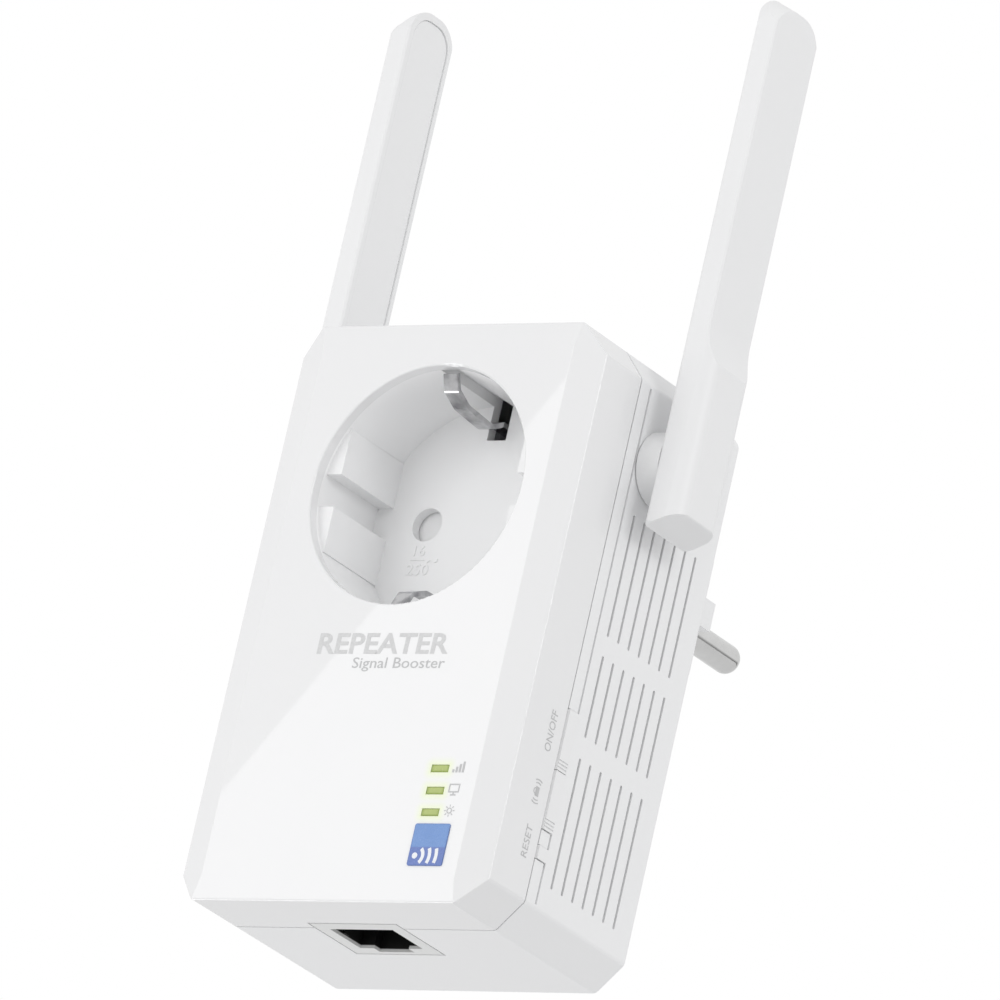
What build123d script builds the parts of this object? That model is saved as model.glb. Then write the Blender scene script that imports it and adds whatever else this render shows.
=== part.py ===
from build123d import *
from math import atan, cos, degrees, hypot, radians, sin, tan
import os

# Wifi range extender with a pass-through mains socket, in millimetres.
# X runs to the right seen from the front, +Y points to the wall, +Z is up.
# The origin is the centre of the plug's face, between its two pins.

# ---------------------------------------------------------------- driving dimensions
# casing
body_width = 58.0
body_height = 95.0
body_depth = 40.5
front_cover_depth = 11.8
socket_height = 68.4        # socket axis above the casing's bottom
wall = 1.8
front_wall = 1.9
back_wall = 2.0
corner_cut_width = 4.25
corner_cut_height = 4.7
corner_round = 1.2
edge_round = 0.4
back_edge_round = 0.8
well_edge_round = 0.3
bevel_width = 5.1           # sloped band along each side of the front face
bevel_depth = 2.0
bevel_corner_height = 4.0   # where the band starts to run out into the corner cut
seam_gap = 0.25
tongue_length = 1.2
tongue_wall = 0.8
slide_gap = 0.1             # clearance of a piece that only has to drop into place
press_gap = 0.02            # clearance of a piece that seats tightly

# socket well
well_radius = 19.75
well_depth = 17.0
well_wall = 1.6
floor_wall = 1.8
pin_pitch = 19.0
pin_hole_radius = 2.76
guide_inner_x = 16.7
guide_low_z = 2.7
guide_high_z = 10.2
guide_setback = 2.4
pocket_width = 3.6
pocket_height = 1.6         # how far the earth pocket is cut past the well's wall
slot_low_z = 14.0
strap_thickness = 0.8
strap_width = 2.6
shutter_pivot_radius = 1.5
shutter_thickness = 1.2
shutter_gap = 0.2
shutter_reach = 13.6
shutter_half_angle = 20.0
running_gap = 0.05
carrier_thickness = 2.5
carrier_radius = 17.6

# plug
plug_length = 17.0
plug_radius = 18.9
plug_flat_x = 16.4
plug_rib_half_width = 2.3
plug_rib_x = 18.5
flange_radius = 20.6
flange_thickness = 2.0
pin_radius = 2.4
pin_length = 19.0
pin_end_round = 2.0
pin_shank_radius = 2.7        # the thicker stretch held by the plug's body
pin_head_radius = 3.4
pin_head_length = 1.5
contact_radius = 3.1
contact_bore = 2.45
contact_length = 13.0
contact_slit = 0.8
earth_recess_width = 7.0
earth_strip_width = 5.0
earth_strip_z = 16.6
earth_strip_setback = 1.6

# antennas
hinge_depth = 20.7          # hinge axis behind the front face
hinge_height = 78.5         # hinge axis above the casing's bottom
antenna_width = 12.1
antenna_thickness = 5.9
blade_thickness = 3.85
antenna_above = 77.9        # from the hinge axis to the tip
antenna_below = 11.2        # from the hinge axis to the lower end
outer_flat_width = 7.0
section_shoulder = 3.0      # where the section's outer corners start to turn
section_draft = 0.2
inner_edge_round = 0.5
blade_edge_round = 0.35
tip_edge_round = 0.3
foot_edge_round = 0.4
tip_front_radius = 5.2
tip_rear_radius = 5.0
foot_radius = 1.0
foot_slant = 2.4
tip_slant = 1.9
recess_top_of_ramp = 22.9
recess_foot_of_ramp = 15.9
lid_rim = 1.2
lid_thickness = 0.9
antenna_wall = 1.1
barrel_radius = 6.0
barrel_length = 4.3         # casing wall to the antenna's inner face
journal_radius = 4.95
bearing_radius = 7.3
bearing_length = 1.7
barrel_bore = 1.2
stub_radius = 3.2           # the hinge barrel's end, seated in the antenna's lid
lid_sink = 0.15             # the lid lies this much under the antenna's inner face
washer_thickness = 0.3
clip_thickness = 0.7
clip_radius = 6.4
clip_groove_radius = 4.2
face_gap = 0.05
barrel_tail = 0.8
coax_radius = 0.65
element_width = 6.0
element_thickness = 0.8
element_length = 44.0
feed_height = 22.0          # from the hinge axis to the radiating strip
connector_drop = 36.4       # from the hinge axis to the radio board's connector

# side wall: buttons and vents
groove_depth_y = 14.9       # groove behind the button strip, from the front face
groove_width = 0.45
groove_cut = 0.6
vent_first = 17.65
vent_pitch = 2.92
vent_count = 7
vent_width = 0.55
vent_rows = ((8.8, 30.1), (33.5, 46.8), (50.0, 70.0))
button_gap = 0.15
button_stand = 0.25
button_chamfer = 0.25
button_flange = 0.8
button_flange_thickness = 1.0
button_stem_width = 1.6
buttons = {
    "power_button": (26.3, 36.1),
    "pair_button": (16.65, 26.15),
    "reset_button": (11.9, 14.0),
}
button_travel = 0.4
switch_size = 4.0

# sockets and lights
jack_centre_x = -0.9
jack_width = 16.4
jack_front = 10.0           # from the front face
jack_back = 23.3
jack_length = 18.0
cavity_width = 11.9
cavity_front = 12.4
cavity_back = 20.8
cavity_depth = 14.0
latch_width = 6.6
latch_back = 22.4
cover_gap = 0.3
led_x = 16.7
led_heights = (14.62, 18.14, 21.73)
led_width = 3.1
led_height = 1.05
badge_low = (14.6, 5.95)
badge_high = (21.15, 12.75)
badge_thickness = 0.15

# boards
board_thickness = 1.6
board_margin = 1.6
board_top = 45.6            # above the casing's bottom
screw_radius = 1.25
screw_head_radius = 2.7
screw_head_length = 1.8
post_radius = 3.0
screw_places = ((20.5, 89.6), (22.0, 6.6))
rest_radius = 1.8
rest_places = ((22.6, 40.5), (10.0, 9.0))

# ---------------------------------------------------------------- derived places
back_y = -plug_length
front_y = back_y - body_depth
seam_y = front_y + front_cover_depth
bottom_z = -socket_height
top_z = bottom_z + body_height
half_width = body_width / 2
inner_x = half_width - wall
floor_y = front_y + well_depth
floor_back_y = floor_y + floor_wall
well_outer = well_radius + well_wall
pin_x = pin_pitch / 2
shutter_front_y = floor_back_y + shutter_gap
carrier_front_y = shutter_front_y + shutter_thickness + shutter_gap
carrier_back_y = carrier_front_y + carrier_thickness
flange_back_y = back_y - back_wall
flange_front_y = flange_back_y - flange_thickness
pin_head_y = flange_front_y - pin_head_length
hinge_y = front_y + hinge_depth
hinge_z = bottom_z + hinge_height
antenna_x = half_width + barrel_length
groove_y = front_y + groove_depth_y
jack_front_y = front_y + jack_front
jack_back_y = front_y + jack_back
main_board_y = jack_front_y - board_thickness
power_board_y = flange_back_y - board_margin / 2 - board_thickness
board_half_width = inner_x - board_margin
board_bottom_z = bottom_z + wall + 0.8
board_top_z = bottom_z + board_top
sheet_y = jack_back_y + 0.6
sheet_thickness = 0.4


# ---------------------------------------------------------------- small helpers
def block(x0, x1, y0, y1, z0, z1):
    """A box from its corners."""
    centre = Pos((x0 + x1) / 2, (y0 + y1) / 2, (z0 + z1) / 2)
    return centre * Box(abs(x1 - x0), abs(y1 - y0), abs(z1 - z0))


def rod_y(x, z, y0, y1, radius):
    """A round bar along Y."""
    return Pos(x, (y0 + y1) / 2, z) * Rot(90, 0, 0) * Cylinder(radius, abs(y1 - y0))


def rod_x(x0, x1, y, z, radius):
    """A round bar along X."""
    return Pos((x0 + x1) / 2, y, z) * Rot(0, 90, 0) * Cylinder(radius, abs(x1 - x0))


def slab(points, direction):
    """A flat polygon in space, pushed along a direction."""
    outline = Wire.make_polygon([Vector(*p) for p in points])
    return Part() + Solid.extrude(Face(outline), Vector(*direction))


def save(shape, name):
    """Write one named piece."""
    export_step(shape, f"parts/{name}.step")


def mirrored(shape):
    return mirror(shape, about=Plane.YZ)


def both_sides(shape):
    return shape + mirrored(shape)


# ---------------------------------------------------------------- casing
def outline_points(inset):
    """The casing's eight-sided outline, moved inwards by inset, as (x, z) points."""
    slope = hypot(corner_cut_width, corner_cut_height)
    cut_w = corner_cut_width - inset + inset * (slope - corner_cut_width) / corner_cut_height
    cut_h = corner_cut_height - inset + inset * (slope - corner_cut_height) / corner_cut_width
    x = half_width - inset
    low = bottom_z + inset
    high = top_z - inset
    return [(x - cut_w, low), (x, low + cut_h), (x, high - cut_h), (x - cut_w, high),
            (-x + cut_w, high), (-x, high - cut_h), (-x, low + cut_h), (-x + cut_w, low)]


def casing_block(inset, y0, y1, rounding):
    """The casing's outline as a solid between two depths, its long edges rounded."""
    points = [(x, y0, z) for x, z in outline_points(inset)]
    solid = slab(points, (0, y1 - y0, 0))
    return fillet(solid.edges().filter_by(Axis.Y), rounding)


def bar_z(y_back):
    """The front cover's level section as a bar: a flat front between two sloped bands, its edges rounded."""
    x = half_width
    flat_x = half_width - bevel_width
    outline = Polyline((-x, y_back), (-x, front_y + bevel_depth), (-flat_x, front_y), (flat_x, front_y),
                       (x, front_y + bevel_depth), (x, y_back), close=True)
    face = make_face(outline)
    face = fillet([v for v in face.vertices() if v.Y < y_back - 0.5], edge_round)
    return Pos(0, 0, bottom_z) * extrude(face, body_height, dir=(0, 0, 1))


def bar_x(y_back):
    """The front cover's side view as a bar across, its top and bottom front edges rounded."""
    outline = Polyline((front_y, bottom_z), (front_y, top_z), (y_back, top_z), (y_back, bottom_z), close=True)
    face = make_face(outline)
    face = fillet([v for v in face.vertices() if v.X < y_back - 0.5], edge_round)
    return Pos(-half_width - 1, 0, 0) * extrude(Plane.YZ * face, body_width + 2, dir=(1, 0, 0))


def flares():
    """Where the flat front widens into the corner cuts, above and below the right sloped band."""
    start_x = half_width - bevel_width
    corner_x = half_width - corner_cut_width
    outer_y = front_y + bevel_depth
    push = (0, bevel_depth + 1, 0)
    blocks = Part()
    for z_start, z_edge, z_side in (
        (top_z - bevel_corner_height, top_z, top_z - corner_cut_height),
        (bottom_z + bevel_corner_height, bottom_z, bottom_z + corner_cut_height),
    ):
        blocks += slab([(start_x, front_y, z_start), (corner_x, front_y, z_edge),
                        (start_x - 0.5, front_y, z_edge), (start_x - 0.5, front_y, z_start)], push)
        blocks += slab([(start_x, front_y, z_start), (corner_x, front_y, z_edge),
                        (half_width, outer_y, z_side)], push)
    return blocks


def front_block(y_back):
    """The front cover's outside as a solid."""
    body = bar_z(y_back) + both_sides(flares())
    body &= casing_block(0, front_y, y_back, corner_round)
    return body & bar_x(y_back)


def jack_opening():
    """The bottom opening that both covers share."""
    half = jack_width / 2 + cover_gap
    return block(jack_centre_x - half, jack_centre_x + half,
                 jack_front_y - cover_gap, jack_back_y + cover_gap,
                 bottom_z - 1, bottom_z + wall + 1)


def screw_points():
    """Where the four case screws stand, as (x, z)."""
    return [(side * x, bottom_z + z) for x, z in screw_places for side in (-1, 1)]


def rest_points():
    """Where the short stands under the boards are, as (x, z)."""
    return [(side * x, bottom_z + z) for x, z in rest_places for side in (-1, 1)]


def front_cover():
    body = front_block(seam_y)
    hollow = casing_block(wall, front_y + front_wall, seam_y + 1, corner_round / 2)
    hollow &= Pos(0, front_wall, 0) * bar_z(seam_y)
    body -= hollow
    for x, z in screw_points():
        body += rod_y(x, z, front_y + front_wall - 0.5, seam_y, post_radius)
    for x, z in rest_points():
        body += rod_y(x, z, front_y + front_wall - 0.5, main_board_y, rest_radius)
    rabbet = casing_block(wall - tongue_wall, seam_y - tongue_length, seam_y + 1, corner_round / 2)
    inner_part = casing_block(wall, seam_y - tongue_length - 1, seam_y + 2, corner_round / 2)
    body -= rabbet - inner_part
    body -= rod_y(0, 0, front_y - 1, front_y + front_wall + 1, well_radius)
    rim = body.edges().filter_by(GeomType.CIRCLE).filter_by(lambda e: abs(e.radius - well_radius) < 0.01)
    body = fillet(rim.sort_by(Axis.Y)[0], well_edge_round)
    for x, z in screw_points():
        body -= rod_y(x, z, seam_y - 7.0, seam_y + 1, screw_radius - 0.2)
    for height in led_heights:
        z = bottom_z + height
        body -= block(led_x - led_width / 2 - slide_gap, led_x + led_width / 2 + slide_gap,
                      front_y - 1, front_y + front_wall + 1,
                      z - led_height / 2 - slide_gap, z + led_height / 2 + slide_gap)
    body -= jack_opening()
    return body


def vents():
    """The vent slots through one side wall, for the right side."""
    slots = Part()
    for column in range(vent_count):
        y = front_y + vent_first + column * vent_pitch
        for low, high in vent_rows:
            z0 = bottom_z + low
            z1 = bottom_z + high
            slot = block(half_width - wall - 1, half_width + 1, y - vent_width / 2, y + vent_width / 2,
                         z0 + vent_width / 2, z1 - vent_width / 2)
            slot += rod_x(half_width - wall - 1, half_width + 1, y, z0 + vent_width / 2, vent_width / 2)
            slot += rod_x(half_width - wall - 1, half_width + 1, y, z1 - vent_width / 2, vent_width / 2)
            slots += slot
    return slots


def vents_clear_of_hinge():
    """The vent slots without what the hinge bearing needs."""
    keep_out = rod_x(half_width - wall - 2, half_width + 2, hinge_y, hinge_z, bearing_radius + 0.6)
    return vents() - keep_out


def button_windows():
    """The notches in the rear cover's front edge that the buttons stand in."""
    low = bottom_z + buttons["pair_button"][0] - button_gap
    high = bottom_z + buttons["power_button"][1] + button_gap
    cut = block(half_width - wall - 0.5, half_width + 1, seam_y - tongue_length - 1, groove_y, low, high)
    low, high = buttons["reset_button"]
    cut += block(half_width - wall - 0.5, half_width + 1, seam_y - tongue_length - 1, groove_y,
                 bottom_z + low - button_gap, bottom_z + high + button_gap)
    return cut


def plug_section(y0, y1, gap):
    """The plug's cross-section between two depths, grown by gap."""
    body = rod_y(0, 0, y0, y1, plug_radius + gap)
    body &= block(-plug_flat_x - gap, plug_flat_x + gap, y0, y1, -plug_radius - 2, plug_radius + 2)
    rib = block(-plug_rib_x - gap, plug_rib_x + gap, y0, y1,
                -plug_rib_half_width - gap, plug_rib_half_width + gap)
    return body + rib


def rear_cover():
    body = casing_block(0, seam_y + seam_gap, back_y, corner_round)
    edges = body.faces().sort_by(Axis.Y)[-1].edges()
    body = fillet(edges, back_edge_round)
    body -= casing_block(wall, seam_y - 1, back_y - back_wall, corner_round / 2)
    tongue = casing_block(wall - tongue_wall + slide_gap, seam_y - tongue_length, seam_y + seam_gap + 0.5,
                          corner_round / 2)
    tongue -= casing_block(wall, seam_y - tongue_length - 1, seam_y + 2, corner_round / 2)
    body += tongue
    for x, z in screw_points():
        body += rod_y(x, z, seam_y, back_y - back_wall + 0.5, post_radius)
    for x, z in rest_points():
        body += rod_y(x, z, power_board_y + board_thickness, back_y - back_wall + 0.5, rest_radius)
    for side in (-1, 1):
        body += rod_x(side * (inner_x - bearing_length), side * (inner_x + 0.5), hinge_y, hinge_z,
                      bearing_radius)
    for side in (-1, 1):
        body -= rod_x(side * (inner_x - bearing_length - 1), side * (half_width + 1), hinge_y, hinge_z,
                      journal_radius + running_gap)
    body -= both_sides(vents_clear_of_hinge())
    groove = block(half_width - groove_cut, half_width + 1, groove_y - groove_width, groove_y,
                   bottom_z + corner_cut_height + 0.6, top_z - corner_cut_height - 0.6)
    body -= both_sides(groove)
    body -= button_windows()
    body -= jack_opening()
    body -= plug_section(back_y - back_wall - 1, back_y + 1, slide_gap)
    for x, z in screw_points():
        body -= rod_y(x, z, seam_y - 1, back_y + 1, screw_radius + slide_gap)
        body -= rod_y(x, z, back_y - screw_head_length - 0.4, back_y + 1, screw_head_radius + slide_gap)
    return body


# ---------------------------------------------------------------- socket
def guide_block(z_low, z_high):
    """One moulded guide beside the well's opening, on the left side."""
    outer = block(-well_radius - 0.5, -guide_inner_x, front_y + guide_setback, floor_y + 0.5, z_low, z_high)
    return outer & rod_y(0, 0, front_y, floor_y + 1, well_radius + 0.5)


def socket_well():
    start_y = front_y + front_wall
    cup = rod_y(0, 0, start_y, floor_back_y, well_outer)
    housing = block(-pocket_width / 2 - 1.2, pocket_width / 2 + 1.2, start_y, floor_back_y,
                    0, well_radius + pocket_height + 1.2)
    cup += housing + mirror(housing, about=Plane.XY)
    cup -= rod_y(0, 0, start_y - 1, floor_y, well_radius)
    for low, high in ((guide_low_z, guide_high_z), (-guide_high_z, -guide_low_z)):
        cup += both_sides(guide_block(low, high))
    pocket = block(-pocket_width / 2, pocket_width / 2, start_y - 1, floor_y + 0.01,
                   slot_low_z, well_radius + pocket_height)
    slot = block(-pocket_width / 2, pocket_width / 2, floor_y - 0.5, floor_back_y + 1,
                 slot_low_z, well_radius + pocket_height)
    cup -= pocket + mirror(pocket, about=Plane.XY)
    cup -= slot + mirror(slot, about=Plane.XY)
    for side in (-1, 1):
        cup -= rod_y(side * pin_x, 0, floor_y - 1, floor_back_y + 1, pin_hole_radius)
    cup += rod_y(0, 0, floor_back_y - 0.5, carrier_front_y - 0.1, shutter_pivot_radius)
    return cup


def shutter():
    """A two-lobed plate behind the well's floor, turned aside by a plug's pins."""
    back = shutter_front_y + shutter_thickness
    disc = rod_y(0, 0, shutter_front_y, back, shutter_reach)
    angle = radians(shutter_half_angle)
    far = shutter_reach + 4
    lobe = slab([(0, shutter_front_y, 0), (far, shutter_front_y, far * tan(angle)),
                 (far, shutter_front_y, -far * tan(angle))], (0, shutter_thickness, 0))
    plate = disc & both_sides(lobe)
    plate += rod_y(0, 0, shutter_front_y, back, 4.6)
    plate -= rod_y(0, 0, shutter_front_y - 1, back + 1, shutter_pivot_radius + running_gap)
    return plate


def contact_carrier():
    """The insulating plate that holds both socket contacts behind the shutter."""
    plate = rod_y(0, 0, carrier_front_y, carrier_back_y, carrier_radius)
    for side in (-1, 1):
        plate -= rod_y(side * pin_x, 0, carrier_front_y - 1, carrier_back_y + 1, contact_radius + press_gap)
    notch = block(-pocket_width / 2 - 0.3, pocket_width / 2 + 0.3, carrier_front_y - 1, carrier_back_y + 1,
                  slot_low_z - 0.6, carrier_radius + 2)
    plate -= notch + mirror(notch, about=Plane.XY)
    leg = block(-2.0, 2.0, floor_back_y, carrier_front_y + 0.5, carrier_radius - 3.0, carrier_radius - 0.4)
    for side in (-1, 1):
        plate += Rot(0, side * 45, 0) * leg
        plate += Rot(0, side * 135, 0) * leg
    return plate


def strap_path_points():
    """The upper earth clip's bends, as (y, z), from its front lip to the cross strap."""
    return [(front_y + 2.4, well_radius - 0.5), (front_y + 3.6, well_radius - 2.9),
            (front_y + 6.8, 15.4), (front_y + 13.8, 14.9), (floor_y - 0.6, 16.4),
            (carrier_back_y + strap_thickness, 16.4)]


def earth_strap():
    """Both earth clips and the strap that joins them behind the contact carrier."""
    points = strap_path_points()
    last_y, last_z = points[-1]
    route = [Vector(0, y, z) for y, z in points[:-1]]
    route.append(Vector(0, last_y - strap_thickness / 2, last_z))
    route.append(Vector(0, last_y - strap_thickness / 2, -last_z))
    route += [Vector(0, y, -z) for y, z in reversed(points[:-1])]
    line = FilletPolyline(*route, radius=[0.9, 1.6, 2.4, 1.0, 0.9, 0.9, 1.0, 2.4, 1.6, 0.9])
    start = line @ 0
    tangent = line % 0
    plane = Plane(origin=start, x_dir=(1, 0, 0), z_dir=tangent)
    return sweep(plane * Rectangle(strap_width, strap_thickness), path=line)


def socket_contact(side):
    """A slit brass sleeve that a plug's pin enters, closed at its back."""
    x = side * pin_x
    end_y = carrier_front_y + contact_length
    tube = rod_y(x, 0, carrier_front_y + 0.1, pin_head_y, contact_radius)
    tube -= rod_y(x, 0, carrier_front_y - 1, end_y, contact_bore)
    slit = block(x - contact_slit / 2, x + contact_slit / 2, carrier_back_y + 1.0, end_y - 0.5,
                 -contact_radius - 1, contact_radius + 1)
    return tube - slit


# ---------------------------------------------------------------- plug
def plug_body():
    body = plug_section(flange_back_y, 0, 0)
    rim = body.faces().sort_by(Axis.Y)[-1].edges()
    body = chamfer(rim, 0.6)
    body += rod_y(0, 0, flange_front_y, flange_back_y, flange_radius)
    recess = block(-earth_recess_width / 2, earth_recess_width / 2, back_y, 1, earth_strip_z, plug_radius + 1)
    strip_way = block(-earth_strip_width / 2 - slide_gap, earth_strip_width / 2 + slide_gap,
                      flange_front_y - 1, back_y + 1, earth_strip_z, earth_strip_z + strap_thickness + slide_gap)
    body -= recess + mirror(recess, about=Plane.XY)
    body -= strip_way + mirror(strip_way, about=Plane.XY)
    for side in (-1, 1):
        body -= rod_y(side * pin_x, 0, flange_front_y - 1, 1, pin_shank_radius + press_gap)
    return body


def plug_pin(side):
    """One mains pin with its round end, and the head that rests inside the flange."""
    x = side * pin_x
    shaft = rod_y(x, 0, 0, pin_length, pin_radius)
    tip = shaft.faces().sort_by(Axis.Y)[-1].edges()
    shaft = fillet(tip, pin_end_round)
    shaft += rod_y(x, 0, flange_front_y, 0, pin_shank_radius)
    return shaft + rod_y(x, 0, pin_head_y, flange_front_y, pin_head_radius)


def plug_earth_contact():
    """The two earth strips on the plug, run inside to the socket's earth strap."""
    front = carrier_back_y + strap_thickness
    strip = block(-earth_strip_width / 2, earth_strip_width / 2, front, -earth_strip_setback,
                  earth_strip_z, earth_strip_z + strap_thickness)
    return strip + mirror(strip, about=Plane.XY)


# ---------------------------------------------------------------- boards and electronics
def board_outline(y0, y1):
    """The boards' shape: the lower casing's inside less a margin, its lower corners notched for the screw posts."""
    plate = block(-board_half_width, board_half_width, y0, y1, board_bottom_z, board_top_z)
    lowest = min(z for x, z in screw_points())
    for x, z in screw_points():
        if z == lowest:
            side = 1 if x > 0 else -1
            plate -= block(x - side * (post_radius + 0.6), side * (half_width + 1), y0 - 1, y1 + 1,
                           board_bottom_z - 1, z + post_radius + 0.6)
    return plate


def board(y):
    """A circuit board across the lower casing."""
    return board_outline(y, y + board_thickness)


def transformer():
    core = block(-20.0, -3.0, sheet_y + sheet_thickness, power_board_y, bottom_z + 26, bottom_z + 41)
    window = block(-16.8, -6.2, sheet_y - 1, sheet_y + 3.2, bottom_z + 25, bottom_z + 42)
    return core - window


def transformer_winding():
    return block(-16.6, -6.4, sheet_y + 1.0, sheet_y + 3.2, bottom_z + 27, bottom_z + 40)


def capacitors():
    cans = Part()
    for x, z, radius, height in ((7.5, 36.0, 4.0, 10.0), (17.5, 37.0, 4.0, 10.0), (20.0, 25.0, 3.15, 8.0)):
        can = rod_y(x, bottom_z + z, power_board_y - height, power_board_y, radius)
        cans += fillet(can.edges(), 0.5)
    return cans


def line_filter():
    """A wound toroid that keeps mains noise out."""
    ring = Pos(8.0, power_board_y - 3.0, bottom_z + 22.5) * Rot(90, 0, 0) * Torus(3.6, 1.7)
    base = block(3.5, 12.5, power_board_y - 1.4, power_board_y, bottom_z + 17.6, bottom_z + 27.4)
    return ring + base


def fuse():
    return rod_x(-20.0, -9.0, power_board_y - 2.2, bottom_z + 20.5, 2.2)


def rf_shield():
    """The folded tin can over the radio."""
    low_y = main_board_y - 1.7
    can = block(-20.0, 0.0, low_y, main_board_y, bottom_z + 24.0, bottom_z + 42.0)
    can = fillet(can.edges().filter_by(Axis.Y), 0.8)
    return can - block(-19.7, -0.3, low_y + 0.3, main_board_y + 1, bottom_z + 24.3, bottom_z + 41.7)


def board_chips():
    chips = block(-15.0, -5.0, main_board_y - 1.1, main_board_y, bottom_z + 28.0, bottom_z + 38.0)
    chips += block(4.0, 11.0, main_board_y - 1.0, main_board_y, bottom_z + 31.0, bottom_z + 40.0)
    chips += block(-18.0, -12.0, main_board_y - 1.0, main_board_y, bottom_z + 15.0, bottom_z + 19.0)
    return chips


def status_leds():
    leds = Part()
    for height in led_heights:
        z = bottom_z + height
        leds += block(led_x - 1.0, led_x + 1.0, main_board_y - 0.7, main_board_y, z - 0.6, z + 0.6)
    return leds


def light_guide():
    """Three clear fingers on one back bar, flush with the front face."""
    bar_y = front_y + front_wall
    guide = block(led_x - led_width / 2, led_x + led_width / 2, bar_y, bar_y + 1.6,
                  bottom_z + led_heights[0] - 1.6, bottom_z + led_heights[-1] + 1.6)
    for height in led_heights:
        z = bottom_z + height
        guide += block(led_x - led_width / 2, led_x + led_width / 2, front_y + 0.05, main_board_y - 1.1,
                       z - led_height / 2, z + led_height / 2)
    return guide


def badge():
    plate = block(badge_low[0], badge_high[0], front_y - badge_thickness, front_y,
                  bottom_z + badge_low[1], bottom_z + badge_high[1])
    return fillet(plate.edges().filter_by(Axis.Y), 0.35)


def insulation_sheet():
    return board_outline(sheet_y, sheet_y + sheet_thickness)


def ethernet_jack():
    half = jack_width / 2
    body = block(jack_centre_x - half, jack_centre_x + half, jack_front_y, jack_back_y,
                 bottom_z, bottom_z + jack_length)
    body -= block(jack_centre_x - cavity_width / 2, jack_centre_x + cavity_width / 2,
                  front_y + cavity_front, front_y + cavity_back, bottom_z - 1, bottom_z + cavity_depth)
    body -= block(jack_centre_x - latch_width / 2, jack_centre_x + latch_width / 2,
                  front_y + cavity_back - 1, front_y + latch_back, bottom_z - 1, bottom_z + cavity_depth)
    for side in (-1, 1):
        edge = jack_centre_x + side * cavity_width / 2
        body += block(edge - 0.35 * side, edge + 0.2 * side, front_y + 15.8, front_y + 17.2,
                      bottom_z + 0.6, bottom_z + 4.6)
    return body


def ethernet_contacts():
    """Eight gilt wires that slope across the jack's cavity."""
    wires = Part()
    pitch = 1.02
    low_y = front_y + cavity_front
    for number in range(8):
        x = jack_centre_x + (number - 3.5) * pitch
        wires += slab([(x - 0.2, low_y, bottom_z + 3.2), (x - 0.2, low_y + 0.4, bottom_z + 3.2),
                       (x - 0.2, low_y + 2.9, bottom_z + cavity_depth),
                       (x - 0.2, low_y + 2.3, bottom_z + cavity_depth)], (0.4, 0, 0))
    return wires


def switch_block(name):
    """The small push switch behind one button."""
    low, high = buttons[name]
    z = bottom_z + (low + high) / 2
    front = jack_front_y
    tall = min(switch_size, high - low)
    centre_y = (seam_y + groove_y) / 2
    end_x = inner_x - button_flange_thickness - 2.6
    body = block(end_x - 3.0, end_x, front, centre_y + 2.2, z - tall / 2, z + tall / 2)
    return body + rod_x(end_x - 0.2, end_x + 0.6, centre_y, z, 0.8)


# ---------------------------------------------------------------- buttons
def side_button(name, ribs):
    """A button in the side strip: cap, inner flange and a stem towards its switch."""
    low, high = buttons[name]
    z0 = bottom_z + low
    z1 = bottom_z + high
    y0 = seam_y + button_gap
    y1 = groove_y - button_gap
    outer = half_width + button_stand
    cap = block(inner_x - button_gap - 0.1, outer, y0, y1, z0, z1)
    front_edge = cap.edges().filter_by(Axis.Z).sort_by(Axis.X)[-2:].sort_by(Axis.Y)[0]
    cap = chamfer(front_edge, button_chamfer, 0.7)
    for number in range(ribs):
        z = z0 + 0.35 + number * 0.55
        cap -= block(outer - 0.2, outer + 1, y0 - 1, y1 + 1, z, z + 0.25)
    flange_high = z1 + button_flange if name == "power_button" else z1
    flange_low = z0 - button_flange if name == "pair_button" else z0
    if name == "reset_button":
        flange_high = z1 + button_flange / 2
        flange_low = z0 - button_flange
    flange_x = inner_x - button_gap
    cap += block(flange_x - button_flange_thickness, flange_x, y0, y1 + button_flange, flange_low, flange_high)
    middle = (z0 + z1) / 2
    centre_y = (seam_y + groove_y) / 2
    stem_end = inner_x - button_flange_thickness - 1.4
    cap += block(stem_end, flange_x, centre_y - button_stem_width / 2, centre_y + button_stem_width / 2,
                 middle - button_stem_width / 2, middle + button_stem_width / 2)
    return cap


# ---------------------------------------------------------------- antennas (right side, mirrored for the left)
def round_tip(strip, inset):
    """Round a strip's two top corners, the front one more than the rear one."""
    strip = fillet(strip.edges().filter_by(Axis.X).sort_by(Axis.Z)[-2:].sort_by(Axis.Y)[0],
                   tip_front_radius - inset)
    corners = strip.edges().filter_by(Axis.X).sort_by(Axis.Y)[-2:].sort_by(Axis.Z)
    return fillet(corners[-1], tip_rear_radius - inset)


def antenna_profile():
    """The antenna's side view, a strip with a rounded tip, pushed to its full thickness."""
    centre_z = hinge_z + (antenna_above - antenna_below) / 2
    length = antenna_above + antenna_below
    strip = block(antenna_x, antenna_x + antenna_thickness, hinge_y - antenna_width / 2,
                  hinge_y + antenna_width / 2, centre_z - length / 2, centre_z + length / 2)
    strip = round_tip(strip, 0)
    feet = strip.edges().filter_by(Axis.X).sort_by(Axis.Z)[:2]
    return fillet(feet, foot_radius)


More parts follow.
